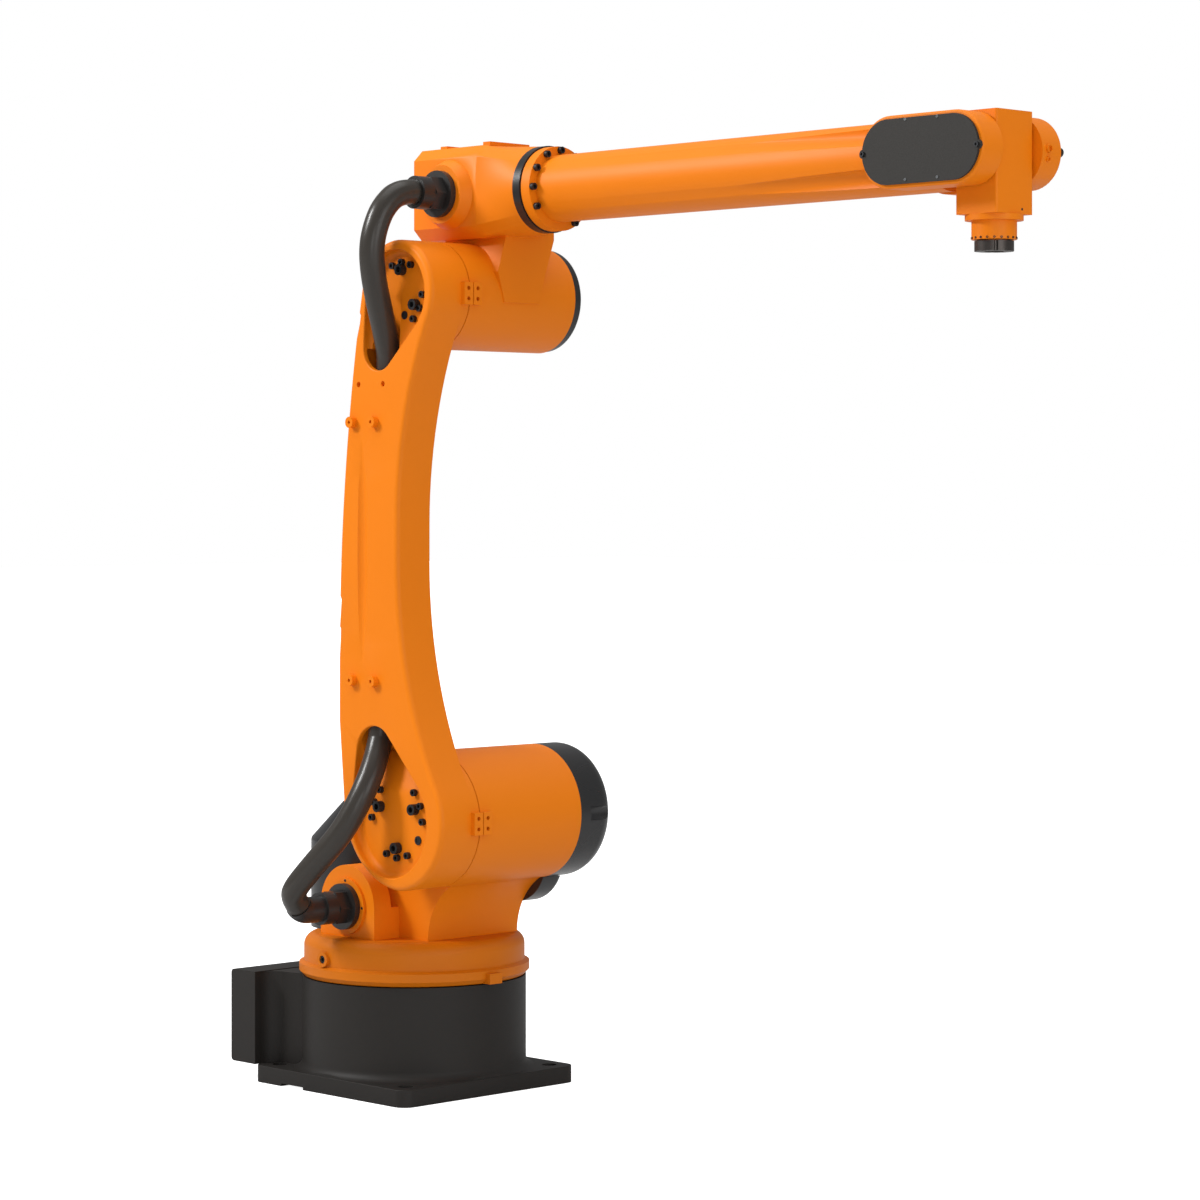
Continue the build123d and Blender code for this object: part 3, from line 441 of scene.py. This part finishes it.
def screws(name, body, spots, finish, share=0.55, sink=0.6):
    """Heads at spots of (place, facing, radius, height) in mm, as one mesh on a body."""
    carrier_mesh = bpy.data.meshes.new("carrier")
    carrier_mesh.from_pydata([[c / 1000 for c in spot[0]] for spot in spots], [], [])
    ways = carrier_mesh.attributes.new("facing", "FLOAT_VECTOR", "POINT")
    sizes = carrier_mesh.attributes.new("head_size", "FLOAT_VECTOR", "POINT")
    for i, (_, way, radius, height) in enumerate(spots):
        ways.data[i].vector = way
        sizes.data[i].vector = (radius / 1000, radius / 1000, height / 1000)
    carrier = put("carrier", carrier_mesh)
    pattern = carrier.modifiers.new("screws", "NODES")
    pattern.node_group = screw_tree
    for title, value in (("Sides", head_sides), ("Socket Share", share),
                         ("Socket Depth", sink), ("Finish", finish)):
        pattern[screw_tree.interface.items_tree[title].identifier] = value
    drawn_heads = carrier.evaluated_get(bpy.context.evaluated_depsgraph_get())
    mesh = bpy.data.meshes.new_from_object(drawn_heads)
    mesh.name = name
    bpy.data.objects.remove(carrier)
    bpy.data.meshes.remove(carrier_mesh)
    heads = put(name, mesh)
    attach(heads, body)


def around(centre, radius, degrees):
    """Two coordinates at an angle on a circle."""
    return (centre[0] + radius * math.cos(math.radians(degrees)),
            centre[1] + radius * math.sin(math.radians(degrees)))


near_side, far_side, front_side = (0, -1, 0), (0, 1, 0), (1, 0, 0)
large_head, small_head = (8, 10), (5, 6)

# In the windows of the link arm: groups of one large head and three small ones, and two plugs.
# Each row has a window's centre, its two circles, the angle between small heads and the groups.
window_floor = -152.0
arm_spots = [((181, window_floor, 379), near_side, 6.5, 1.5),
             ((152, window_floor, 1123), near_side, 6, 1.5)]
for centre, inner, outer, spread, groups in (
    ((138, 406), 40.5, 54.5, 24, (24, 156, 270)),
    ((148, 1154), 33.7, 44.5, 26, (90, -30)),
):
    for middle in groups:
        x, z = around(centre, inner, middle)
        arm_spots.append(((x, window_floor, z), near_side, *large_head))
        for aside in (-spread, 0, spread):
            x, z = around(centre, outer, middle + aside)
            arm_spots.append(((x, window_floor, z), near_side, *small_head))
screws("arm_window_screws", "link_arm", arm_spots, screw_steel)

# On the forearm: the screws of its flange, two of whose twelve places are empty, and one screw
# in each ear of the belt covers.
roll_z = 1302
flange_face_x = 311.5
flange_circle = 54.5
cover_sides = ((-82, near_side), (82, far_side))
forearm_spots = []
for degrees in (0, 30, 60, 90, 120, 150, 180, 210, 300, 330):
    y, z = around((0, roll_z), flange_circle, degrees)
    forearm_spots.append(((flange_face_x, y, z), front_side, *small_head))
for side, way in cover_sides:
    forearm_spots += [((x, side, roll_z), way, 3.5, 2.5) for x in (956, 1144)]
screws("forearm_screws", "forearm", forearm_spots, screw_steel)

# On the column: the plug of the skirt's boss, and three small screws around the lower gland.
# The screws are set almost flush.
boss_centre = (-12, 268)
boss_circle = 37.5
boss_face_y = -124
column_spots = [((-12, -163, 194), near_side, 5.5, 3.5)]
for degrees in (90, 0, 225):
    x, z = around(boss_centre, boss_circle, degrees)
    column_spots.append(((x, boss_face_y, z), near_side, 2.0, 0.5))
screws("column_screws", "column", column_spots, screw_steel)

# On the wrist: a ring of small screws around the collar, and one in the front of the block.
# The first of the ring stands a little to the side of the front.
tool_x = 1104
collar_radius = 28.2
collar_screws = 20
collar_start_degrees = 4
collar_z = 1191.6
collar_spots = [((1137.5, 14, 1227), front_side, 1.6, 0.3)]
for k in range(collar_screws):
    x, y = around((tool_x, 0), collar_radius, 360 / collar_screws * k + collar_start_degrees)
    collar_spots.append(((x, y, collar_z), (x - tool_x, y, 0), 1.5, 1.2))
screws("wrist_screws", "wrist", collar_spots, screw_steel)


# Belt cover screws: small countersunk heads of bright zinc plated steel, set flush at the long
# edges of the covers.
zinc_mm = 2.0
bright_steel = uneven_finish("bright_zinc_screw", ("#77797B", "#77797B"), roughness=(0.25, 0.4),
                             cloud=(zinc_mm, 2.0), metallic=0.9)
cover_spots = [((x, side, z), way, 1.9, 0.6) for side, way in cover_sides
               for x in (1027, 1079.7) for z in (1265.5, 1341.5)]
screws("belt_cover_screws", "forearm", cover_spots, bright_steel)

# Blind plugs in the rounded front end of the far fork arm, painted over with the arm.
# The lower one is smaller and follows the slope of the end.
plug_y = 51
plug_spots = [((1150.0, plug_y, 1305), front_side, 5.5, 3.4),
              ((1149.0, plug_y, 1292), (0.970, 0, -0.244), 3.6, 2.4)]
screws("fork_end_plug", "forearm", plug_spots, orange_paint,
       share=0.72, sink=0.95)


# Studio: a floor that runs out of sight, a soft key lamp high on the near side, weaker lamps
# around it, and a surround that is brightest overhead. The camera sees the surround as white,
# and the floor keeps a shadow.
overhead_strength = 1.32
mirror_strength = 0.3
floor_half = 30.0
floor_glow = 0.97


def lamp(name, place, aim, size, power):
    """Square soft lamp at a place, turned towards a point, in metres and watts."""
    data = bpy.data.lights.new(name, "AREA")
    data.size = size
    data.energy = power
    light = put(name, data)
    light.location = place
    light.rotation_euler = (Vector(aim) - Vector(place)).to_track_quat("-Z", "Y").to_euler()


def seen_rays(tree):
    """Light path node of a tree, and 1 for rays that the camera sends, also through glass."""
    ray = add(tree, "ShaderNodeLightPath")
    seen = add(tree, "ShaderNodeMath", {"operation": "MAXIMUM"},
               {0: ray.outputs["Is Camera Ray"], 1: ray.outputs["Is Transmission Ray"]})
    return ray, seen.outputs[0]


lamp("key_lamp", (-2.0, -2.9, 3.2), (0.3, 0, 0.9), size=1.0, power=134)
lamp("front_lamp", (4.6, -0.7, 1.4), (0.4, 0, 0.9), size=2.2, power=38)
lamp("top_lamp", (0.3, -0.2, 4.4), (0.3, 0, 0.8), size=3.0, power=45)
lamp("fill_lamp", (3.8, -3.4, 0.9), (0.3, 0, 0.9), size=1.6, power=22)

world = bpy.data.worlds.new("pale_surround")
bpy.context.scene.world = world
world.use_nodes = True
tree = world.node_tree
tree.nodes.clear()
ray, seen = seen_rays(tree)
where = add(tree, "ShaderNodeTexCoord")
heading = add(tree, "ShaderNodeSeparateXYZ", inputs={0: where.outputs["Generated"]})
overhead = add(tree, "ShaderNodeMapRange",
               inputs={0: heading.outputs["Z"], 3: 0.0, 4: overhead_strength})
by_mirror = add(tree, "ShaderNodeMapRange",
                inputs={0: ray.outputs["Is Glossy Ray"], 3: overhead.outputs[0],
                        4: mirror_strength})
strength = add(tree, "ShaderNodeMath", {"operation": "MAXIMUM"},
               {0: seen, 1: by_mirror.outputs[0]})
white = add(tree, "ShaderNodeBackground",
            inputs={"Color": srgb("#FFFFFF"), "Strength": strength.outputs[0]})
add(tree, "ShaderNodeOutputWorld", inputs={0: white.outputs[0]})

floor_mesh = bpy.data.meshes.new("studio_floor")
floor_mesh.from_pydata([(-floor_half, -floor_half, 0), (floor_half, -floor_half, 0),
                        (floor_half, floor_half, 0), (-floor_half, floor_half, 0)],
                       [], [(0, 1, 2, 3)])
floor = put("studio_floor", floor_mesh)
floor_paint, tree, shader = finish_of("pale_studio_floor")
shader.inputs["Base Color"].default_value = srgb("#C2C2C2")
shader.inputs["Roughness"].default_value = 0.9
shader.inputs["Emission Color"].default_value = srgb("#FFFFFF")
ray, seen = seen_rays(tree)
glow = add(tree, "ShaderNodeMath", {"operation": "MULTIPLY"}, {0: seen, 1: floor_glow})
tree.links.new(glow.outputs[0], shader.inputs["Emission Strength"])
floor_mesh.materials.append(floor_paint)

bpy.context.scene.view_settings.view_transform = "Standard"
